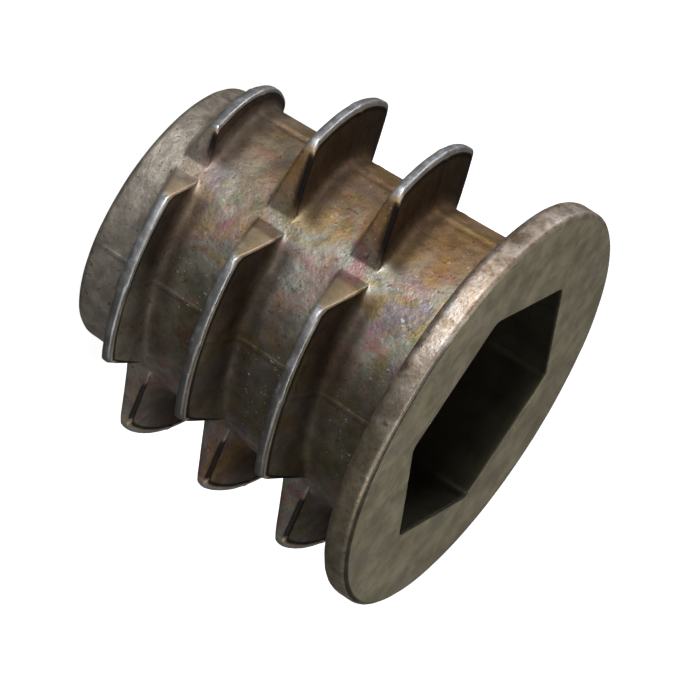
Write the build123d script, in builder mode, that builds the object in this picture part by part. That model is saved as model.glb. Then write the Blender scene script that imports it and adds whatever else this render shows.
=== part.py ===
from build123d import *
import os
from math import atan, cos, degrees, radians, sin, tan

# Hex-drive threaded insert: one zinc die casting that screws into a drilled hole in wood.
# The axis is Z, the tip end stands on z = 0 and the flange face looks up.
# The wood thread starts on the +X side, where one of its four gaps is centred.
# Lengths are millimetres and angles are degrees.

# Overall sizes
overall_length = 12.7
flange_diameter = 14.6
flange_thickness = 0.95

# Shank: a slow taper that swells toward the flange
shank_tip_diameter = 9.35
shank_top_diameter = 10.4
tip_edge_radius = 0.22
flange_root_radius = 0.3
flange_under_edge_radius = 0.3
flange_face_edge_radius = 0.25

# Wood thread: one coarse right-hand ridge with steep flanks and a narrow rounded crest
thread_pitch = 3.28
thread_turns = 3
thread_first_z = 0.94
crest_start_diameter = 13.2
crest_end_diameter = 14.3
crest_width = 0.2
crest_round_height = 0.06
tip_flank_angle = 13.5
flange_flank_angle = 10.5
thread_bedding = 0.45

# Lead: the first turn climbs out of the shank along a spiral
lead_start_diameter = 10.2
lead_turn_angle = 230
lead_steps = 12

# Gaps: V notches along the shank that break each turn into segments
gap_count = 4
gap_floor_half_angle = 3
gap_ramp_angle = 37

# Hexagonal socket for the driving key
hex_across_flats = 8.1
hex_depth = 5.0
hex_corner_radius = 0.35
hex_turn_angle = 16
hex_mouth_chamfer = 0.15

# Bore of the M8 machine thread, left plain at the diameter of the thread's crests
bore_diameter = 6.7
bore_lead_diameter = 8.0
bore_exit_diameter = 7.4

# Sizes that follow from those above
shank_length = overall_length - flange_thickness
shank_tip_radius = shank_tip_diameter / 2
shank_top_radius = shank_top_diameter / 2
shank_swell = shank_top_radius - shank_tip_radius
flange_radius = flange_diameter / 2
thread_height = thread_pitch * thread_turns
crest_rise = (crest_end_diameter - crest_start_diameter) / 2
shank_at_first_turn = shank_tip_radius + shank_swell * thread_first_z / shank_length
ridge_depth = crest_end_diameter / 2 - shank_at_first_turn + thread_bedding
crest_half = crest_width / 2
tip_side_reach = crest_half + ridge_depth * tan(radians(tip_flank_angle))
flange_side_reach = crest_half + ridge_depth * tan(radians(flange_flank_angle))

# Wood thread: a helical ridge that tapers with its crest and is bedded in the shank
with BuildPart() as wood_thread:
    with BuildLine() as crest_line:
        Helix(
            pitch=thread_pitch,
            height=thread_height,
            radius=crest_start_diameter / 2,
            center=(0, 0, thread_first_z),
            cone_angle=degrees(atan(crest_rise / thread_height)),
        )
    section_plane = Plane(
        origin=crest_line.line @ 0,
        x_dir=(1, 0, 0),
        z_dir=crest_line.line % 0,
    )
    with BuildSketch(section_plane):
        with BuildLine():
            Polyline(
                (-crest_round_height, crest_half),
                (-ridge_depth, flange_side_reach),
                (-ridge_depth, -tip_side_reach),
                (-crest_round_height, -crest_half),
            )
            ThreePointArc(
                (-crest_round_height, -crest_half),
                (0, 0),
                (-crest_round_height, crest_half),
            )
        make_face()
    sweep(path=crest_line.line, is_frenet=True)

    # What lies outside the lead spiral is cut from the first turn
    lead_share = lead_turn_angle / (360 * thread_turns)
    lead_end_radius = crest_start_diameter / 2 + crest_rise * lead_share + crest_round_height
    lead_top_z = thread_first_z + thread_pitch * lead_turn_angle / 360 + crest_width
    lead_start_radius = lead_start_diameter / 2
    with BuildSketch():
        with BuildLine():
            spiral_points = []
            for step in range(lead_steps + 1):
                share = step / lead_steps
                radius = lead_start_radius + (lead_end_radius - lead_start_radius) * share
                turn = radians(lead_turn_angle * share)
                spiral_points.append((radius * cos(turn), radius * sin(turn)))
            spiral = Spline(spiral_points)
            rim = CenterArc((0, 0), crest_end_diameter, 0, lead_turn_angle)
            Line(spiral @ 0, rim @ 0)
            Line(spiral @ 1, rim @ 1)
        make_face()
    extrude(amount=lead_top_z, mode=Mode.SUBTRACT)

    # Each notch leans out with the shank's taper and has a flat ramp up both its sides
    notch_reach = crest_end_diameter / 2
    floor_half = shank_tip_radius * sin(radians(gap_floor_half_angle))
    floor_x = shank_tip_radius * cos(radians(gap_floor_half_angle))
    mouth_half = floor_half + notch_reach / tan(radians(gap_ramp_angle))
    for index in range(gap_count):
        notch_plane = Plane.XY.rotated((0, 0, 360 / gap_count * index))
        notch_lean = notch_plane.x_dir * shank_swell + notch_plane.z_dir * shank_length
        with BuildSketch(notch_plane):
            with BuildLine():
                Polyline(
                    (floor_x, -floor_half),
                    (floor_x + notch_reach, -mouth_half),
                    (floor_x + notch_reach, mouth_half),
                    (floor_x, floor_half),
                    close=True,
                )
            make_face()
        extrude(amount=overall_length, dir=notch_lean, mode=Mode.SUBTRACT)

# The casting: shank and flange turned about the axis, with the thread grown on the shank
with BuildPart() as threaded_insert:
    with BuildSketch(Plane.XZ):
        with BuildLine():
            Polyline(
                (0, 0),
                (shank_tip_radius, 0),
                (shank_top_radius, shank_length),
                (flange_radius, shank_length),
                (flange_radius, overall_length),
                (0, overall_length),
                close=True,
            )
        make_face()
    revolve(axis=Axis.Z)
    rings = threaded_insert.edges().filter_by(GeomType.CIRCLE).sort_by(Axis.Z)
    tip_edge = rings[0]
    root_edge, under_edge = rings[1:3].sort_by(SortBy.RADIUS)
    face_edge = rings[-1]
    fillet(tip_edge, tip_edge_radius)
    fillet(root_edge, flange_root_radius)
    fillet(under_edge, flange_under_edge_radius)
    fillet(face_edge, flange_face_edge_radius)
    add(wood_thread.part)

    # Hexagonal socket, cut down from the flange face
    with BuildSketch(Plane.XY.offset(overall_length)) as hexagon:
        RegularPolygon(hex_across_flats / 2, 6, major_radius=False, rotation=hex_turn_angle)
        fillet(hexagon.vertices(), hex_corner_radius)
    extrude(amount=-hex_depth, mode=Mode.SUBTRACT)
    face_plane = threaded_insert.faces().filter_by(Axis.Z).sort_by(Axis.Z)[-1]
    chamfer(face_plane.inner_wires().edges(), hex_mouth_chamfer)

    # Bore through the socket's floor, with the machine thread's lead and exit countersinks
    bore_lead_depth = (bore_lead_diameter - bore_diameter) / 2
    bore_exit_depth = (bore_exit_diameter - bore_diameter) / 2
    hex_floor_z = overall_length - hex_depth
    with BuildSketch(Plane.XZ):
        with BuildLine():
            Polyline(
                (0, 0),
                (bore_exit_diameter / 2, 0),
                (bore_diameter / 2, bore_exit_depth),
                (bore_diameter / 2, hex_floor_z - bore_lead_depth),
                (bore_lead_diameter / 2, hex_floor_z),
                (0, hex_floor_z),
                close=True,
            )
        make_face()
    revolve(axis=Axis.Z, mode=Mode.SUBTRACT)

os.makedirs("parts", exist_ok=True)
threaded_insert.part.label = "threaded_insert"
export_step(threaded_insert.part, "parts/threaded_insert.step")
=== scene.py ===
import math

import bmesh
import bpy
import numpy as np
from mathutils import Matrix, Vector, noise


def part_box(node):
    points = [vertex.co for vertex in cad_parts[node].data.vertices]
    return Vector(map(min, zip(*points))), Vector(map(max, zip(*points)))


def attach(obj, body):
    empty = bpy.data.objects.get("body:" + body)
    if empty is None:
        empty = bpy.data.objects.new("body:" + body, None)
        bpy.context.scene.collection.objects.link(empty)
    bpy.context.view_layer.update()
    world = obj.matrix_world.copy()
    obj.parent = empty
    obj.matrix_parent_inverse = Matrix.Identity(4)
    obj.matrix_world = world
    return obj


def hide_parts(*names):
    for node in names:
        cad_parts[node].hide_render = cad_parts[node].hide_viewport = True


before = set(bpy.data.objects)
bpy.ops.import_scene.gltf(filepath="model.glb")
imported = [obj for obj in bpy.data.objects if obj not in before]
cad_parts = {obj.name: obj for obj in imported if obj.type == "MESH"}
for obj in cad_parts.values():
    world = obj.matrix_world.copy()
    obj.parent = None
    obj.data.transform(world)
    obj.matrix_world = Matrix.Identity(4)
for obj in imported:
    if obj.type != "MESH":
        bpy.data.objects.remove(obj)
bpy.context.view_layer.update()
MM = 0.001

# ---------------------------------------------------------------- sizes, in millimetres and degrees
low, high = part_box("threaded_insert")
LENGTH = (high[2] - low[2]) / MM
FLANGE_R = (high[0] - low[0]) / MM / 2
FLANGE_THICK = 0.95
SHANK_LENGTH = LENGTH - FLANGE_THICK
SHANK_TIP_R = 4.675
SHANK_TOP_R = 5.2
TIP_EDGE = 0.22
FLANGE_ROOT = 0.3
FLANGE_UNDER_EDGE = 0.3
FLANGE_FACE_EDGE = 0.22

# Wood thread: a coarse ridge with a lead. Its flanks are given as run for each unit of height.
PITCH = 3.28
TURNS = 3
FIRST_Z = 0.94
CREST_START_R = 6.6
CREST_END_R = 7.15
CREST_HALF = 0.16
TIP_FLANK = math.tan(math.radians(12.0))
FLANGE_FLANK = math.tan(math.radians(9.0))
LEAD_START_R = 5.1
LEAD_TURN = 205.0
LEAD_OVERRUN = 60
LEAST_CREST = 0.4
LEAST_SLIMMING = 0.3

# Gaps that break each turn: half angles of their floor and of their mouth, and their ramps' run
GAP_COUNT = 4
GAP_FLOOR = 3.0
GAP_MOUTH = 24.0
GAP_RAMP = 1 / math.tan(math.radians(37))
GAP_LAST_RAMP = GAP_RAMP * 1.12

# How far the corners of the ridge's outline along the helix are rounded
LEAD_ROUND = 0.12
NOTCH_ROUND = 0.22
FOOT_ROUND = 0.06

# Partings of the die, and the height and half width of the flash that each one left
PARTING_TURN = 45.0
FLASH_HEIGHTS = (0.09, 0.028, 0.08, 0.06)
FLASH_HALF = (0.17, 0.08, 0.13, 0.1)

# Hexagonal socket
HEX_HALF = 4.05
HEX_DEPTH = 5.0
HEX_CORNER = 0.35
HEX_TURN = 16.0
HEX_MOUTH = 0.08

# Bore with its M8 thread
BORE_R = 3.35
BORE_ROOT_R = 4.0
BORE_PITCH = 1.25
BORE_EXIT_R = 3.7
BORE_LEAD_R = 4.0
BORE_EXIT_DEPTH = BORE_EXIT_R - BORE_R
BORE_LOW = BORE_EXIT_DEPTH + 0.1
BORE_HIGH = LENGTH - HEX_DEPTH - (BORE_LEAD_R - BORE_R) - 0.05

# Vertices nearer than the first are joined, and edges shorter than the second are dropped
JOIN_DISTANCE = 0.004
SLIVER = 0.002


def shank_r(z):
    """Radius of the tapered shank at height z."""
    return SHANK_TIP_R + (SHANK_TOP_R - SHANK_TIP_R) * z / SHANK_LENGTH


def off_angle(theta, centre, spacing):
    """Signed angle from theta to the nearest of the angles centre + n * spacing."""
    return (theta - centre + spacing / 2) % spacing - spacing / 2


def soft_min(a, b, width):
    """The smaller of two values, with the corner between them rounded over width."""
    blend = np.clip(0.5 + 0.5 * (b - a) / width, 0, 1)
    return b * (1 - blend) + a * blend - width * blend * (1 - blend)


# ---------------------------------------------------------------- angles round the axis
def angle_samples():
    """Angles of the mesh's columns, closer together at the gaps, partings and socket corners."""
    coarse_step = 2.4
    fine = np.linspace(0, 360, 7201)
    density = np.full(fine.shape, 1 / coarse_step)
    gap_spacing = 360 / GAP_COUNT
    # Centre and spacing of each crowded place, the step between columns there and its width
    crowded = [
        (GAP_FLOOR, gap_spacing, 0.8, 2.5),
        (-GAP_FLOOR, gap_spacing, 0.8, 2.5),
        (GAP_MOUTH, gap_spacing, 1.2, 2.5),
        (-GAP_MOUTH, gap_spacing, 1.2, 2.5),
        (PARTING_TURN, gap_spacing, 0.35, 1.6),
        (HEX_TURN, 60.0, 0.6, 2.5),
    ]
    for centre, spacing, step, width in crowded:
        density += np.exp(-(off_angle(fine, centre, spacing) / width) ** 2) / step
    total = np.concatenate([[0], np.cumsum((density[1:] + density[:-1]) / 2 * fine[1])])
    count = int(total[-1])
    return np.interp(np.arange(count) * total[-1] / count, total, fine)


THETA = angle_samples()


def bend(a, corner, b, steps):
    """Points of the curve that rounds a corner, from a to b."""
    t = np.linspace(0, 1, steps)[:, None, None]
    return (1 - t) ** 2 * a + 2 * t * (1 - t) * corner + t ** 2 * b


def run(a, b, steps):
    """Points between a and b, without either end."""
    t = np.linspace(0, 1, steps + 2)[1:-1, None, None]
    return a + (b - a) * t


def toward(a, b, reach):
    """The point at a distance reach from a on the way to b, or nearer if b is close."""
    most_share = 0.42
    gap = np.linalg.norm(b - a, axis=-1, keepdims=True)
    return a + (b - a) / np.maximum(gap, 1e-9) * np.minimum(reach, most_share * gap)


# ---------------------------------------------------------------- wood thread
def ridge_heights(turn):
    """Heights above the shank along the helix: the full ridge's, its crest's and the notched ridge's."""
    far = 99
    least_fall = 0.05
    z = FIRST_Z + PITCH * turn / 360
    share = np.clip(turn / (360 * TURNS), 0, 1)
    full = CREST_START_R + (CREST_END_R - CREST_START_R) * share - shank_r(z)
    off = np.radians(np.abs(off_angle(turn, 0, 360 / GAP_COUNT)))
    # The last ramp of each turn, down to the gap at +X, is a little shallower than the rest
    past_first_gap = off_angle(turn, 0, 360)
    on_last_ramp = (past_first_gap < 0) & (past_first_gap > -180 / GAP_COUNT)
    ramp = np.where(on_last_ramp, GAP_LAST_RAMP, GAP_RAMP)
    floor_angle = math.radians(GAP_FLOOR)
    foot = shank_r(z) * (math.cos(floor_angle) * ramp - math.sin(floor_angle))
    fall = ramp * np.cos(off) - np.sin(off)
    notch = np.where(fall > least_fall, foot / np.maximum(fall, least_fall), far) - shank_r(z)
    lead_end = CREST_START_R + (CREST_END_R - CREST_START_R) * LEAD_TURN / (360 * TURNS)
    lead = LEAD_START_R + (lead_end - LEAD_START_R) * turn / LEAD_TURN - shank_r(z)
    lead = np.where(turn < LEAD_TURN + LEAD_OVERRUN, lead, far)
    crest = np.maximum(soft_min(full, lead, LEAD_ROUND), LEAST_CREST)
    height = soft_min(soft_min(full, notch, NOTCH_ROUND), lead, LEAD_ROUND)
    height = -soft_min(-height, 0 * height, FOOT_ROUND)
    on_thread = (turn > 0) & (turn < 360 * TURNS)
    return full, crest, np.where(on_thread, height, 0)


# Reach of the ridge's rounded corners along the surfaces that meet there, on the tip side and
# on the flange side
TIP_FOOT_ON_SHANK, TIP_FOOT_ON_FLANK = 0.14, 0.16
TIP_EDGE_ON_FLANK, TIP_EDGE_ON_CREST = 0.16, 0.13
TOP_EDGE_ON_CREST, TOP_EDGE_ON_FLANK = 0.09, 0.1
TOP_FOOT_ON_FLANK, TOP_FOOT_ON_SHANK = 0.34, 0.34

# Zones of the ridge: wear above zero, and below it brown stain with painted shade, its first row a dark
# line of painted shade. The number of the edge on the flange side also marks where a line of painted
# shade lies beside the notches' ramps.
PLAIN, TIP_FLANK_ZONE, CREST_ZONE, EDGE_ZONE = 0.0, 0.3, 1.0, 0.9
SHADE_LINE, STAINED_SHADED_FLANK, STAINED_SHADED_FOOT = -1.75, -1.0, -0.9
STAIN_AND_SHADE_RUNNING_OUT = [-0.85, -0.6, -0.3, -0.1, 0.0]

# Wear value that paints the ramps past the gap at 90 degrees lighter and the wear of the other ramps,
# then the share of the crest's height that wear starts from and the share it takes to grow to full
LIGHTER_RAMP, OTHER_RAMP = 0.62, 0.15
WEAR_FROM, WEAR_OVER = 0.8, 0.15

# Surface values grow this many times as fast as the ridge does, up to their full strength
STRENGTH_GROWTH = 4


def ridge_section(turn):
    """Shank and ridge over one pitch: points (offset along Z, height), zones, strength and wear."""
    full, crest, tall = ridge_heights(turn)
    share = np.clip(1 - tall / crest, 0, 1) * full
    slim = np.clip(crest / full, LEAST_SLIMMING, 1)

    def at(offset, height):
        return np.stack(np.broadcast_arrays(offset, height), -1)

    foot_tip = at(-(CREST_HALF + full * TIP_FLANK), 0.0)
    foot_top = at(CREST_HALF + full * slim * FLANGE_FLANK, 0.0)
    edge_tip = at(-(CREST_HALF + share * TIP_FLANK), tall)
    edge_top = at(CREST_HALF + share * slim * FLANGE_FLANK, tall)
    start = at(-PITCH / 2 + 0 * full, 0.0)
    end = at(PITCH / 2 + 0 * full, 0.0)

    # Where each rounded corner begins and ends, from the tip side to the flange side
    tip_shank = toward(foot_tip, start, TIP_FOOT_ON_SHANK)
    tip_flank_low = toward(foot_tip, edge_tip, TIP_FOOT_ON_FLANK)
    tip_flank_high = toward(edge_tip, foot_tip, TIP_EDGE_ON_FLANK)
    crest_from = toward(edge_tip, edge_top, TIP_EDGE_ON_CREST)
    crest_to = toward(edge_top, edge_tip, TOP_EDGE_ON_CREST)
    top_flank_high = toward(edge_top, foot_top, TOP_EDGE_ON_FLANK)
    top_flank_low = toward(foot_top, edge_top, TOP_FOOT_ON_FLANK)
    top_shank = toward(foot_top, end, TOP_FOOT_ON_SHANK)
    parts = [
        (start[None], PLAIN),
        (run(start, tip_shank, 5), PLAIN),
        (bend(tip_shank, foot_tip, tip_flank_low, 5), PLAIN),
        (run(tip_flank_low, tip_flank_high, 7), TIP_FLANK_ZONE),
        (bend(tip_flank_high, edge_tip, crest_from, 5), CREST_ZONE),
        (run(crest_from, crest_to, 1), CREST_ZONE),
        (bend(crest_to, edge_top, top_flank_high, 5), EDGE_ZONE),
        (run(top_flank_high, top_flank_low, 9), [SHADE_LINE] + [STAINED_SHADED_FLANK] * 8),
        (bend(top_flank_low, foot_top, top_shank, 6), STAINED_SHADED_FOOT),
        (run(top_shank, end, 5), STAIN_AND_SHADE_RUNNING_OUT),
        (end[None], PLAIN),
    ]
    points = np.concatenate([stretch for stretch, _ in parts])
    zone = np.concatenate([np.broadcast_to(kind, len(stretch)) for stretch, kind in parts])
    # The ramps past the gap at 90 degrees are painted lighter through a higher wear value
    past_gap = off_angle(turn, 90, 360)
    ramp_least_top = np.where((past_gap > 0) & (past_gap < 180 / GAP_COUNT), LIGHTER_RAMP, OTHER_RAMP)
    top = np.clip((tall / crest - WEAR_FROM) / WEAR_OVER, ramp_least_top, 1)
    return points, zone, np.clip(tall / full * STRENGTH_GROWTH, 0, 1), top


class Skin:
    """Collects the vertices, faces and surface values of the casting."""

    def __init__(self):
        self.points, self.faces, self.values = [], [], []
        self.count = 0

    def grid(self, xyz, values, closed):
        """Adds a grid of points, rows by columns; closed joins the last column to the first."""
        rows, columns = xyz.shape[:2]
        index = np.arange(rows * columns).reshape(rows, columns) + self.count
        right = np.roll(index, -1, axis=1) if closed else index[:, 1:]
        left = index if closed else index[:, :-1]
        quads = np.stack([left[:-1], right[:-1], right[1:], left[1:]], -1).reshape(-1, 4)
        self.points.append(xyz.reshape(-1, 3))
        self.values.append(values.reshape(-1, values.shape[-1]))
        self.faces.append(quads)
        self.count += rows * columns


def around(radius, theta, z):
    """Points from radius, angle in degrees and height."""
    a = np.radians(theta)
    return np.stack(np.broadcast_arrays(radius * np.cos(a), radius * np.sin(a), z), -1)


# Surface values of each point: wear of the crests, dark flanks, flange and socket
VALUE_NAMES = ("wear", "dark", "flange", "inside")
WEAR, DARK, FLANGE, INSIDE = range(len(VALUE_NAMES))


def add_shank(skin, z_low, z_high):
    """Shank and wood thread, as a strip wound round the axis from under the tip to past the flange."""
    turns = range(-1, TURNS + 2)
    turn = np.concatenate([THETA + 360 * k for k in turns] + [[360.0 * (TURNS + 2)]])
    section, zone, strength, top = ridge_section(turn)
    z = FIRST_Z + PITCH * turn / 360 + section[..., 0]
    clipped = np.clip(z, z_low, z_high)
    height = np.where(clipped == z, section[..., 1], 0)
    values = np.zeros(z.shape + (len(VALUE_NAMES),))
    values[..., WEAR] = np.clip(zone, 0, 1)[:, None] * strength * top
    values[..., DARK] = np.clip(-zone, 0, 2)[:, None] * strength
    # A dark line of painted shade along the flange side's edge, strongest where the crest is least
    # rubbed
    edge_shade_line = np.clip(2.2 - 3 * top, 0, 1.7)
    values[..., DARK] += (zone == EDGE_ZONE)[:, None] * strength * edge_shade_line
    xyz = around(shank_r(clipped) + height, turn, clipped)
    skin.grid(xyz, values, closed=False)


def arc(centre, radius, start, end, steps):
    """Points (r, z) of an arc, angles from the outward direction."""
    a = np.radians(np.linspace(start, end, steps))
    return [(centre[0] + radius * math.cos(v), centre[1] + radius * math.sin(v)) for v in a]


def hex_radius(inset):
    """Distance from the axis to the socket's wall at each column, its corners rounded."""
    off = np.radians(np.abs(off_angle(THETA, HEX_TURN + 30, 60)))
    flat = (HEX_HALF + inset) / np.cos(off)
    centre = (HEX_HALF - HEX_CORNER) / math.cos(math.radians(30))
    lean = np.radians(30) - off
    corner = HEX_CORNER + inset
    reach = centre * np.cos(lean) + np.sqrt(corner ** 2 - (centre * np.sin(lean)) ** 2 + 0j).real
    tangent = math.atan2((HEX_HALF - HEX_CORNER) * math.tan(math.radians(30)), HEX_HALF + inset)
    return np.where(off > tangent, reach, flat)


def add_rings(skin, rings, flange=0.0, inside=0.0, wear=0.0):
    """A revolved stretch: each ring is (radius, z), and a radius may vary round the axis."""
    xyz = np.stack([around(np.broadcast_to(r, THETA.shape), THETA, z) for r, z in rings])
    values = np.zeros(xyz.shape[:2] + (len(VALUE_NAMES),))
    for column, value in ((FLANGE, flange), (INSIDE, inside), (WEAR, wear)):
        values[..., column] = np.broadcast_to(value, len(rings))[:, None]
    skin.grid(xyz, values, closed=True)


def add_tip(skin, z_low):
    """Rounded edge of the tip, its end face and the countersink of the bore."""
    edge = arc((shank_r(z_low) - TIP_EDGE, TIP_EDGE), TIP_EDGE, 0, -90, 8)
    edge[0] = (shank_r(z_low), z_low)
    face = [(r, 0.0) for r in np.linspace(edge[-1][0], BORE_EXIT_R + 0.05, 5)[1:]]
    sink = [(BORE_EXIT_R, 0.03), (BORE_R + 0.04, BORE_EXIT_DEPTH - 0.02), (BORE_R, BORE_LOW)]
    rings = (edge + face + sink)[::-1]
    edge_wear = [0.2, 0.3, 0.4, 0.45, 0.4, 0.3, 0.15, 0.0]
    wear = [0.0] * len(sink) + [0.2] * len(face) + edge_wear
    add_rings(skin, rings, wear=wear)


def add_bore(skin, z_low, z_high):
    """Machine thread in the bore, as a strip wound round the axis."""
    first = math.floor((z_low - BORE_PITCH) / BORE_PITCH)
    last = math.ceil((z_high + BORE_PITCH) / BORE_PITCH)
    turn = np.concatenate([THETA + 360 * k for k in range(first, last)] + [[360.0 * last]])
    # The groove's form over one pitch, as shares of the pitch and of the groove's depth
    offset = np.array([-0.5, -0.4, -0.34, -0.07, 0, 0.07, 0.34, 0.4, 0.5])[:, None] * BORE_PITCH
    depth = np.array([0, 0, 0.06, 0.93, 1, 0.93, 0.06, 0, 0])[:, None] * (BORE_ROOT_R - BORE_R)
    z = BORE_PITCH * turn / 360 + offset
    clipped = np.clip(z, z_low, z_high)
    fade_length = 0.3
    fade = np.clip(np.minimum(clipped - z_low, z_high - clipped) / fade_length, 0, 1)
    xyz = around(BORE_R + depth * fade, turn, clipped)
    values = np.zeros(z.shape + (len(VALUE_NAMES),))
    values[..., INSIDE] = 1
    skin.grid(xyz[::-1], values, closed=False)


def add_socket(skin, bore_top):
    """Bore lead, socket floor, socket walls, and the mouth's softened edge."""
    floor_z = LENGTH - HEX_DEPTH
    wall_top = LENGTH - HEX_MOUTH - 0.04
    lead = [(BORE_R, bore_top), (BORE_R + 0.05, bore_top + 0.03), (BORE_LEAD_R - 0.03, floor_z - 0.03)]
    wall = hex_radius(0.0)
    rings = lead + [(BORE_LEAD_R + 0.01, floor_z), (wall - 0.02, floor_z), (wall, floor_z + 0.05)]
    rings += [(wall, z) for z in np.linspace(floor_z + 0.4, LENGTH - 0.5, 7)]
    rings += [(wall, wall_top)]
    add_rings(skin, rings[::-1], flange=1.0, inside=1.0)
    mouth = []
    for share in np.linspace(0, 1, 5):
        turn = math.radians(90 * share)
        inset = HEX_MOUTH * (1 - math.sin(turn))
        mouth.append((hex_radius(inset), LENGTH - HEX_MOUTH * (1 - math.cos(turn))))
    mouth.append((wall, wall_top))
    # The socket's painted shade reaches over most of the mouth's rounded edge, over its highlight
    add_rings(skin, mouth, flange=1.0, inside=[0, 0.6, 1, 1, 1, 1], wear=[0.1, 0, 0, 0, 0, 0])


def add_flange(skin, z_high):
    """Flange face, rounded rim, underside and the fillet down to the shank."""
    inner = hex_radius(HEX_MOUTH)
    outer = FLANGE_R - FLANGE_FACE_EDGE
    face = [(inner + (outer - inner) * s, LENGTH) for s in np.linspace(1, 0, 9)]
    under_centre = (FLANGE_R - FLANGE_UNDER_EDGE, SHANK_LENGTH + FLANGE_UNDER_EDGE)
    under_edge = arc(under_centre, FLANGE_UNDER_EDGE, -90, 0, 7)
    side_heights = np.linspace(under_edge[-1][1], LENGTH - FLANGE_FACE_EDGE, 4)[1:-1]
    side = [(FLANGE_R, z) for z in side_heights]
    face_edge = arc((outer, LENGTH - FLANGE_FACE_EDGE), FLANGE_FACE_EDGE, 0, 90, 7)
    root_r = shank_r(z_high) + FLANGE_ROOT
    under = [(r, SHANK_LENGTH) for r in np.linspace(root_r, under_edge[0][0], 6)[1:-1]]
    root = []
    for turn in np.radians(np.linspace(0, 90, 6)):
        radius = shank_r(z_high) + FLANGE_ROOT * (1 - math.cos(turn))
        root.append((radius, z_high + FLANGE_ROOT * math.sin(turn)))

    wear = [0.0] * (len(root) + len(under))
    wear += [0.1, 0.2, 0.3, 0.3, 0.3, 0.2, 0.1]
    wear += [0.1, 0.2]
    wear += [0.3, 0.5, 0.6, 0.7, 0.6, 0.5, 0.3]
    # The flange's colour comes in over the fillet, is half there on the rim and full on the face
    flange = [0.0, 0.0, 0.2, 0.3, 0.4, 0.5]
    flange += [0.5] * (len(under) + len(under_edge) + len(side))
    flange += [0.5, 0.5, 0.6, 0.7, 0.8, 0.9, 1.0]
    add_rings(skin, root + under + under_edge + side + face_edge, flange=flange, wear=wear)
    add_rings(skin, face, flange=1.0, wear=[0.3, 0.1] + [0.0] * 6 + [0.1])


def build_casting():
    """One closed mesh of the insert, with its surface values stored on the points."""
    skin = Skin()
    z_low = TIP_EDGE
    z_high = SHANK_LENGTH - FLANGE_ROOT
    add_shank(skin, z_low, z_high)
    add_tip(skin, z_low)
    add_bore(skin, BORE_LOW, BORE_HIGH)
    add_socket(skin, BORE_HIGH)
    add_flange(skin, z_high)
    points = np.concatenate(skin.points) * MM
    values = np.concatenate(skin.values)
    faces = np.concatenate(skin.faces)
    mesh = bpy.data.meshes.new("threaded_insert_skin")
    mesh.from_pydata(points.tolist(), [], faces.tolist())
    for column, name in enumerate(VALUE_NAMES):
        layer = mesh.attributes.new(name, "FLOAT", "POINT")
        layer.data.foreach_set("value", values[:, column].astype(np.float32))
    bm = bmesh.new()
    bm.from_mesh(mesh)
    bmesh.ops.remove_doubles(bm, verts=bm.verts, dist=JOIN_DISTANCE * MM)
    bmesh.ops.dissolve_degenerate(bm, edges=bm.edges, dist=SLIVER * MM)
    bmesh.ops.recalc_face_normals(bm, faces=bm.faces)
    bm.to_mesh(mesh)
    bm.free()
    mesh.shade_smooth()
    piece = bpy.data.objects.new("insert_casting", mesh)
    bpy.context.scene.collection.objects.link(piece)
    return piece


def read_vectors(mesh, name):
    """One vector of every vertex, as an array."""
    flat = np.empty(len(mesh.vertices) * 3)
    mesh.vertices.foreach_get(name, flat)
    return flat.reshape(-1, 3)


def read_value(mesh, name):
    """A surface value of every vertex."""
    value = np.empty(len(mesh.vertices))
    mesh.attributes[name].data.foreach_get("value", value)
    return value


# Unevenness of the casting: lumps for each metre, and how far they stand out
BROAD_LUMPS, BROAD_HEIGHT = 450, 0.016
FINE_LUMPS, FINE_HEIGHT = 1300, 0.008

# Where flash and its painted shadow line stop short of the flange and the tip, and how they fade
FLASH_MARGIN = 0.25
FLASH_FADE = 0.3
OUTSIDE_BORE_R = 4.2

# One parting's swelling on the worn crests, and the painted shadow line beside another parting's flash
SWOLLEN_PARTING = 1
SWELLING, SWELLING_HALF, SWELLING_FROM_R = 0.055, 0.4, 6
SHADOWED_PARTING = 0
PARTING_SHADOW, SHADOW_OFFSET, SHADOW_HALF = 0.75, 0.3, 0.09


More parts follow.
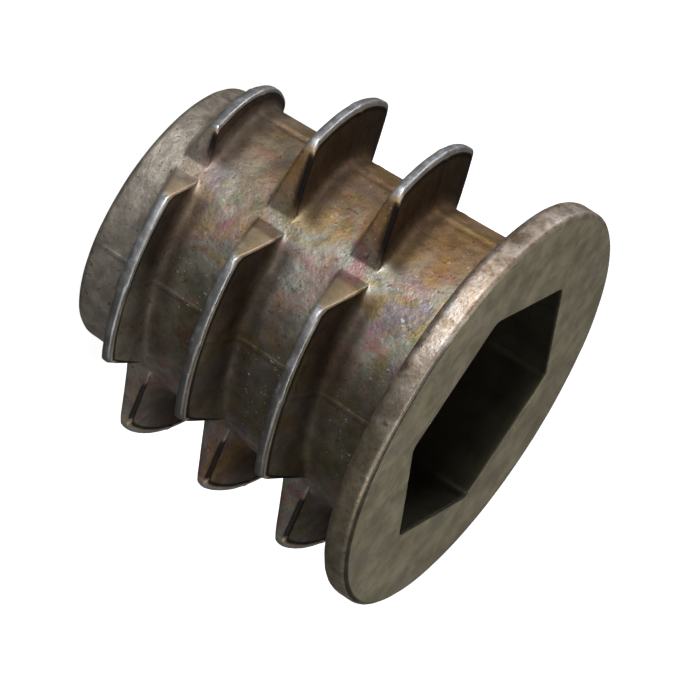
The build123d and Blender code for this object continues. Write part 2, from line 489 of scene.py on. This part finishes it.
def roughen(piece):
    """Flash lines at the partings, a painted shadow line beside one of them, and the slight unevenness
    of a die casting.
    """
    mesh = piece.data
    co = read_vectors(mesh, "co")
    normal = read_vectors(mesh, "normal")
    inside = read_value(mesh, "inside")
    wear = read_value(mesh, "wear")
    radius = np.hypot(co[:, 0], co[:, 1]) / MM
    theta = np.degrees(np.arctan2(co[:, 1], co[:, 0]))
    z = co[:, 2] / MM
    across = np.radians(off_angle(theta, PARTING_TURN, 360 / GAP_COUNT)) * radius
    below_flange = np.clip((SHANK_LENGTH - FLASH_MARGIN - z) / FLASH_FADE, 0, 1)
    above_tip = np.clip((z - FLASH_MARGIN) / FLASH_FADE, 0, 1)
    on_shank = below_flange * above_tip
    side = np.round((theta - PARTING_TURN) / 90) % 4
    strength = np.choose(side.astype(int), FLASH_HEIGHTS)
    width = np.choose(side.astype(int), FLASH_HALF)
    outside = radius > OUTSIDE_BORE_R

    # Less flash on worn crests and on surfaces that face along the axis
    flash = strength * np.exp(-(across / width) ** 4) * on_shank * (inside < 0.5) * outside
    flash *= np.clip(1.2 - wear, 0, 1) * np.clip(1.5 - 1.1 * np.abs(normal[:, 2]), 0, 1)
    swelling = SWELLING * np.exp(-(across / SWELLING_HALF) ** 2) * wear
    flash += swelling * (radius > SWELLING_FROM_R) * on_shank * (side == SWOLLEN_PARTING)

    # Painted shadow of the flash rib, stored as a dark value
    flash_shadow = PARTING_SHADOW * np.exp(-((across - SHADOW_OFFSET) / SHADOW_HALF) ** 2)
    flash_shadow = flash_shadow * (side == SHADOWED_PARTING) * on_shank * (inside < 0.5)
    dark = np.maximum(read_value(mesh, "dark"), flash_shadow * outside)
    mesh.attributes["dark"].data.foreach_set("value", dark.astype(np.float32))

    wobble = np.array([
        noise.noise(Vector(p) * BROAD_LUMPS) * BROAD_HEIGHT
        + noise.noise(Vector(p) * FINE_LUMPS) * FINE_HEIGHT
        for p in co.tolist()
    ])
    # The end faces only sink, so that the casting stands flat and keeps its length
    flat = (np.abs(normal[:, 2]) > 0.95) & ((z < 0.05) | (z > LENGTH - 0.05))
    wobble = np.where(flat, -np.abs(wobble) * 0.4, wobble)
    co = co + normal * ((flash + wobble) * MM)[:, None]
    mesh.vertices.foreach_set("co", co.ravel())
    mesh.update()


# ---------------------------------------------------------------- material
def linear(red, green, blue):
    """Scene colour of an sRGB colour given in 0 to 255."""
    return [((c / 255 + 0.055) / 1.055) ** 2.4 for c in (red, green, blue)] + [1]


class Tree:
    """Short calls that build a material's nodes."""

    def __init__(self, material):
        material.use_nodes = True
        self.nodes, self.links = material.node_tree.nodes, material.node_tree.links
        self.place = self.nodes.new("ShaderNodeTexCoord").outputs["Object"]

    def put(self, value, socket):
        """Links an output to a socket, or sets the socket to a plain value."""
        if isinstance(value, bpy.types.NodeSocket):
            self.links.new(value, socket)
        else:
            socket.default_value = value

    def noise(self, size, detail=3.0, rough=0.55, twist=0.0):
        """Noise whose lumps are about size millimetres across."""
        n = self.nodes.new("ShaderNodeTexNoise")
        n.inputs["Scale"].default_value = 0.5 / (size * MM)
        n.inputs["Detail"].default_value = detail
        n.inputs["Roughness"].default_value = rough
        n.inputs["Distortion"].default_value = twist
        self.links.new(self.place, n.inputs["Vector"])
        return n.outputs["Fac"]

    def ramp(self, fac, stops):
        """Colours along a value: stops are (position, colour)."""
        n = self.nodes.new("ShaderNodeValToRGB")
        n.color_ramp.elements[0].position, n.color_ramp.elements[0].color = stops[0]
        n.color_ramp.elements[1].position, n.color_ramp.elements[1].color = stops[-1]
        for position, colour in stops[1:-1]:
            n.color_ramp.elements.new(position).color = colour
        self.links.new(fac, n.inputs["Fac"])
        return n.outputs["Color"]

    def step(self, value, low, high, to_low=0.0, to_high=1.0):
        """A smooth step of value from low to high."""
        n = self.nodes.new("ShaderNodeMapRange")
        n.interpolation_type = "SMOOTHSTEP"
        self.put(value, n.inputs["Value"])
        self.put(low, n.inputs["From Min"])
        self.put(high, n.inputs["From Max"])
        self.put(to_low, n.inputs["To Min"])
        self.put(to_high, n.inputs["To Max"])
        return n.outputs["Result"]

    def math(self, kind, a, b):
        """One sum, difference, product or comparison of two values."""
        n = self.nodes.new("ShaderNodeMath")
        n.operation = kind
        self.put(a, n.inputs[0])
        self.put(b, n.inputs[1])
        return n.outputs[0]

    def times(self, a, b):
        """The product of two values."""
        return self.math("MULTIPLY", a, b)

    def rest(self, share):
        """What a share leaves of the whole."""
        return self.math("SUBTRACT", 1.0, share)

    def ragged(self, place, lumps, shift, low, high):
        """A step along a place, its border shifted by lumps; the last three are in millimetres."""
        border = self.math("ADD", place, self.times(lumps, shift * MM))
        return self.step(border, low * MM, high * MM)

    def mix(self, fac, a, b, kind="MIX"):
        """Mixes colour b over colour a."""
        n = self.nodes.new("ShaderNodeMix")
        n.data_type = "RGBA"
        n.blend_type = kind
        self.put(fac, n.inputs["Factor"])
        self.put(a, n.inputs["A"] if not n.inputs["A"].is_unavailable else n.inputs[6])
        self.put(b, n.inputs["B"] if not n.inputs["B"].is_unavailable else n.inputs[7])
        return n.outputs[2]

    def value(self, name):
        """A surface value stored on the mesh."""
        n = self.nodes.new("ShaderNodeAttribute")
        n.attribute_name = name
        return n.outputs["Fac"]

    def toward(self, azimuth):
        """How far out a point lies toward an azimuth, in metres."""
        n = self.nodes.new("ShaderNodeVectorMath")
        n.operation = "DOT_PRODUCT"
        self.links.new(self.place, n.inputs[0])
        a = math.radians(azimuth)
        n.inputs[1].default_value = (math.cos(a), math.sin(a), 0)
        return n.outputs["Value"]

    def along(self):
        """Height above the floor, in metres."""
        n = self.nodes.new("ShaderNodeSeparateXYZ")
        self.links.new(self.place, n.inputs[0])
        return n.outputs["Z"]


# Colours of the worn passivation
OCHRE, BUFF, GREY = linear(156, 136, 94), linear(166, 150, 116), linear(166, 166, 156)
DUSTY_ROSE, SAND = linear(170, 148, 138), linear(170, 140, 96)
GREEN_TINT, ROSE_TINT, VIOLET_TINT = linear(126, 140, 112), linear(176, 128, 130), linear(136, 130, 152)
GOLD, SHADED_OLIVE, PALE_TIP = linear(186, 142, 80), linear(98, 88, 66), linear(214, 204, 190)

# Colours of the flange's face and rim
OLIVE_GREY, LIGHT_OLIVE, WARM_GREY = linear(166, 156, 128), linear(176, 166, 140), linear(174, 164, 146)
RIM_BROWN, RIM_TAN, RIM_SILVER = linear(150, 132, 112), linear(196, 180, 166), linear(216, 208, 202)
RIM_SHADED = linear(132, 122, 96)

# Colours of stain, grit and painted shade, and of rubbed and bare metal
DEEP_STAIN_AND_SHADE, LIGHT_STAIN_AND_SHADE, SOCKET_SHADE = linear(54, 35, 25), linear(70, 54, 40), linear(54, 52, 41)
GRIT, RIDGE_EDGE_SHADE, RIM_EDGE_SHADE = linear(70, 58, 44), linear(26, 25, 26), linear(50, 46, 42)
RUBBED_TAN, SATIN_GREY, SHADED_CREST_GREY = linear(204, 182, 150), linear(180, 182, 186), linear(104, 106, 108)
BARE_METAL = linear(204, 206, 210)


def passivated_skin(t):
    """Skin of shank and thread: tan, grey, rose and green patches that run into each other, with painted
    shade on one side.
    """
    patches = t.noise(1.3, 4, 0.62, 0.7)
    stops = [(0.32, OCHRE), (0.42, BUFF), (0.49, GREY), (0.56, DUSTY_ROSE), (0.66, SAND)]
    colour = t.ramp(patches, stops)

    # Each tint's patch size and twist, the noise level it starts at and how strong it gets
    tints = (
        (1.0, 0.5, 0.54, 0.6, GREEN_TINT),
        (0.7, 0.9, 0.55, 0.65, ROSE_TINT),
        (0.9, 0.9, 0.55, 0.6, VIOLET_TINT),
    )
    for size, twist, start, strength, tint in tints:
        cover = t.step(t.noise(size, 3, 0.6, twist), start, 0.64, 0, strength)
        colour = t.mix(cover, colour, tint)

    # Gold on the side at 42 degrees, olive painted shade on the side at 146 degrees, and a pale tip
    gold = t.ragged(t.toward(42), t.noise(1.2, 3), 4.0, 5.0, 7.2)
    colour = t.mix(t.times(gold, 0.7), colour, GOLD)
    shaded = t.ragged(t.toward(146), t.noise(0.9, 3), 1.2, 4.6, 5.6)
    colour = t.mix(t.times(shaded, 0.72), colour, SHADED_OLIVE)
    tip = t.ragged(t.along(), t.noise(0.8, 3), 1.5, 4.8, 1.4)
    return t.mix(t.times(tip, 0.85), colour, PALE_TIP)


def flange_skin(t, colour, flange):
    """Over the skin, a duller and more even olive grey on the flange's face, and a speckled rim with
    painted shade on its side at 150 degrees.
    """
    dull = t.ramp(t.noise(0.9, 5, 0.65), [(0.3, OLIVE_GREY), (0.5, LIGHT_OLIVE), (0.7, WARM_GREY)])
    colour = t.mix(t.step(flange, 0.55, 0.95), colour, dull)
    rim = t.times(t.step(flange, 0.3, 0.5), t.step(flange, 0.9, 0.6))
    speckled = t.ramp(t.noise(0.28, 4, 0.7), [(0.35, RIM_BROWN), (0.5, RIM_TAN), (0.65, RIM_SILVER)])
    # Painted shade on the rim's side at 150 degrees
    shaded = t.step(t.toward(150), 4.8 * MM, 7.2 * MM, 0, 0.75)
    speckled = t.mix(shaded, speckled, RIM_SHADED)
    return t.mix(t.times(rim, 0.92), colour, speckled)


def stained_and_shaded(t, colour, stain_shade_mask, inside, calm):
    """Brown staining with painted shade on the flanks that face the flange, lighter toward azimuth 172
    as painted light, painted shade in the socket and bore, grain and dark grit.
    """
    stain_shade_colour = t.mix(t.noise(0.7), DEEP_STAIN_AND_SHADE, LIGHT_STAIN_AND_SHADE)
    # Toward azimuth 172 the stain and painted shade thin out: painted light on the flanks there
    painted_light_fade = t.step(t.toward(172), 3.4 * MM, 5.6 * MM, 0.9, 0.3)
    colour = t.mix(t.times(stain_shade_mask, painted_light_fade), colour, stain_shade_colour)
    # Painted shade darkens the socket and bore
    colour = t.mix(t.times(inside, 0.97), colour, SOCKET_SHADE)
    grain = t.step(t.noise(0.22, 5, 0.7), 0.30, 0.70, 0.66, 1.16)
    colour = t.mix(calm, colour, grain, "MULTIPLY")
    grit = t.step(t.noise(0.11, 3, 0.7), 0.56, 0.68, 0, 0.6)
    return t.mix(t.times(grit, calm), colour, GRIT)


def cast_zinc():
    """Die-cast zinc, its yellow passivation mottled, with brown staining and painted shade in the
    grooves, and worn on the crests.
    """
    material = bpy.data.materials.new("worn_cast_zinc")
    t = Tree(material)
    wear, dark, flange, inside = (t.value(name) for name in VALUE_NAMES)
    # Brown stain and painted shade, from the stored dark value
    stain_shade_mask = t.math("MINIMUM", dark, 1.0)
    face = t.step(flange, 0.9, 1.0)
    calm = t.rest(t.times(face, 0.7))
    colour = flange_skin(t, passivated_skin(t), flange)
    colour = stained_and_shaded(t, colour, stain_shade_mask, inside, calm)

    # Tan where the passivation is rubbed thin, and satin grey on the crests, with painted shade on their
    # side at 150 degrees
    thin = t.times(t.step(wear, 0.35, 0.6, 0, 0.85), t.step(flange, 0.3, 0.1))
    colour = t.mix(thin, colour, RUBBED_TAN)
    crest_shade = t.ragged(t.toward(150), t.noise(0.35, 4, 0.7), 2.0, 6.0, 8.0)
    colour = t.mix(t.step(wear, 0.66, 0.9, 0, 0.9), colour, t.mix(crest_shade, SATIN_GREY, SHADED_CREST_GREY))

    # Dark lines of painted shade: under the ridge's edge on the flange side, and along the edge of the
    # flange's face
    line = t.step(dark, 1.15, 1.6, 0, 0.9)
    colour = t.mix(line, colour, RIDGE_EDGE_SHADE)
    rim_edge_shade = t.times(t.step(flange, 0.62, 0.72), t.step(flange, 0.97, 0.9))
    rim_edge_shade = t.times(rim_edge_shade, t.step(t.toward(150), 3.8 * MM, 5.2 * MM))
    colour = t.mix(t.times(rim_edge_shade, 0.85), colour, RIM_EDGE_SHADE)

    # Bare metal where the wear is deepest, and in small scuffs on the shank
    uneven = t.times(t.math("SUBTRACT", t.noise(0.25, 4, 0.7), 0.5), 2.2)
    # The crests' painted shade also holds back bare metal there
    worn = t.math("SUBTRACT", t.math("ADD", wear, uneven), t.times(crest_shade, 0.35))
    bare = t.times(t.step(worn, 0.7, 1.5, 0, 0.85), t.rest(rim_edge_shade))
    bare = t.times(bare, t.rest(line))
    scuff = t.step(t.noise(0.07, 2, 0.6), 0.64, 0.72, 0, 0.8)
    scuff = t.times(scuff, t.step(t.noise(0.9, 3, 0.6), 0.44, 0.56))
    unscuffed = t.math("MAXIMUM", t.math("MAXIMUM", stain_shade_mask, inside), t.step(flange, 0.1, 0.4))
    bare = t.math("MAXIMUM", bare, t.times(scuff, t.rest(unscuffed)))
    colour = t.mix(bare, colour, BARE_METAL)

    shader = t.nodes["Principled BSDF"]
    t.put(colour, shader.inputs["Base Color"])
    t.put(t.math("SUBTRACT", 0.85, t.times(bare, 0.2)), shader.inputs["Metallic"])

    # Rougher under the stain and painted shade, a little smoother where it is worn
    matte = t.times(stain_shade_mask, t.rest(bare))
    rough = t.step(t.noise(0.5, 4, 0.7), 0.3, 0.7, 0.40, 0.58)
    rough = t.math("ADD", rough, t.times(matte, 0.16))
    polished = t.math("MAXIMUM", bare, t.step(wear, 0.7, 0.95))
    rough = t.math("SUBTRACT", rough, t.times(polished, 0.06))
    t.put(rough, shader.inputs["Roughness"])

    bump = t.nodes.new("ShaderNodeBump")
    bump.inputs["Strength"].default_value = 0.68
    bump.inputs["Distance"].default_value = 0.03 * MM
    height = t.math("ADD", t.noise(0.3, 4, 0.65), t.times(t.noise(0.1, 3, 0.6), 0.8))
    t.put(t.times(height, calm), bump.inputs["Height"])
    t.put(bump.outputs["Normal"], shader.inputs["Normal"])
    return material


# ---------------------------------------------------------------- stage, lights and camera
# Half the floor's side in metres, its shade to the camera and to other rays, and the glow that
# only the camera sees
FLOOR_HALF = 1.0
FLOOR_TO_CAMERA = 0.8
FLOOR_TO_OTHERS = 0.12
FLOOR_GLOW = 0.86


def add_floor():
    """Pale floor that is white to the camera and keeps a light shadow."""
    mesh = bpy.data.meshes.new("floor")
    s = FLOOR_HALF
    mesh.from_pydata([(-s, -s, 0), (s, -s, 0), (s, s, 0), (-s, s, 0)], [], [(0, 1, 2, 3)])
    floor = bpy.data.objects.new("floor", mesh)
    bpy.context.scene.collection.objects.link(floor)
    material = bpy.data.materials.new("pale_floor")
    material.use_nodes = True
    nodes, links = material.node_tree.nodes, material.node_tree.links
    nodes.clear()
    out = nodes.new("ShaderNodeOutputMaterial")
    diffuse = nodes.new("ShaderNodeBsdfDiffuse")
    glow = nodes.new("ShaderNodeEmission")
    path = nodes.new("ShaderNodeLightPath")
    shade = nodes.new("ShaderNodeMapRange")
    shade.inputs["To Min"].default_value = FLOOR_TO_OTHERS
    shade.inputs["To Max"].default_value = FLOOR_TO_CAMERA
    links.new(path.outputs["Is Camera Ray"], shade.inputs["Value"])
    links.new(shade.outputs["Result"], diffuse.inputs["Color"])
    scale = nodes.new("ShaderNodeMath")
    scale.operation = "MULTIPLY"
    scale.inputs[1].default_value = FLOOR_GLOW
    add = nodes.new("ShaderNodeAddShader")
    links.new(path.outputs["Is Camera Ray"], scale.inputs[0])
    links.new(scale.outputs[0], glow.inputs["Strength"])
    links.new(diffuse.outputs[0], add.inputs[0])
    links.new(glow.outputs[0], add.inputs[1])
    links.new(add.outputs[0], out.inputs["Surface"])
    mesh.materials.append(material)


def direction(azimuth, elevation):
    """Unit vector at an azimuth from +X and an elevation, in degrees."""
    a, e = math.radians(azimuth), math.radians(elevation)
    return Vector((math.cos(a) * math.cos(e), math.sin(a) * math.cos(e), math.sin(e)))


# Surround light's level to all but the camera
SURROUND = 0.07

# Each light's name, azimuth from the camera's, elevation, distance, size and power in watts
LIGHTS = (
    ("key", -42, -2, 90, 46, 0.084),
    ("front", -14, 2, 140, 14, 0.034),
    ("upper", -105, 4, 110, 50, 0.028),
    ("fill", 62, 24, 120, 60, 0.03),
    ("overhead", 30, 78, 90, 70, 0.052),
)


def add_light(name, azimuth, elevation, distance, size, power):
    """Soft square light that looks at the insert's middle."""
    data = bpy.data.lights.new(name, "AREA")
    data.size = size * MM
    data.energy = power
    light = bpy.data.objects.new(name, data)
    bpy.context.scene.collection.objects.link(light)
    aim = Vector((0, 0, LENGTH / 2 * MM))
    way = direction(azimuth, elevation)
    light.location = aim + way * distance * MM
    light.rotation_euler = way.to_track_quat("Z", "Y").to_euler()


CAMERA_AZIMUTH = 109.2
CAMERA_ELEVATION = 17.5
CAMERA_ROLL = -122.6
CAMERA_DISTANCE = 146.8
CAMERA_AIM = (-0.41, -0.61, 7.75)
CAMERA_LENS = 234.3


def add_camera():
    """Long lens that looks a little down on the flange, rolled so that the axis slants."""
    data = bpy.data.cameras.new("camera")
    data.lens = CAMERA_LENS
    data.sensor_width = 36
    data.clip_start = 0.01
    camera = bpy.data.objects.new("camera", data)
    bpy.context.scene.collection.objects.link(camera)
    aim = Vector(CAMERA_AIM) * MM
    way = direction(CAMERA_AZIMUTH, CAMERA_ELEVATION)
    turn = way.to_track_quat("Z", "Y").to_matrix() @ Matrix.Rotation(math.radians(-CAMERA_ROLL), 3, "Z")
    camera.matrix_world = Matrix.Translation(aim + way * CAMERA_DISTANCE * MM) @ turn.to_4x4()
    bpy.context.scene.camera = camera


def set_world():
    """Grey surround light that is white to the camera."""
    world = bpy.data.worlds.new("surround")
    bpy.context.scene.world = world
    world.use_nodes = True
    nodes, links = world.node_tree.nodes, world.node_tree.links
    back = nodes["Background"]
    path = nodes.new("ShaderNodeLightPath")
    level = nodes.new("ShaderNodeMapRange")
    level.inputs["To Min"].default_value = SURROUND
    level.inputs["To Max"].default_value = 1.0
    links.new(path.outputs["Is Camera Ray"], level.inputs["Value"])
    links.new(level.outputs["Result"], back.inputs["Strength"])
    back.inputs["Color"].default_value = (1, 1, 1, 1)


piece = build_casting()
roughen(piece)
piece.data.materials.append(cast_zinc())
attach(piece, "root")
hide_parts("threaded_insert")

add_floor()
set_world()
for name, turn, elevation, distance, size, power in LIGHTS:
    add_light(name, CAMERA_AZIMUTH + turn, elevation, distance, size, power)
add_camera()
bpy.context.scene.view_settings.view_transform = "Standard"
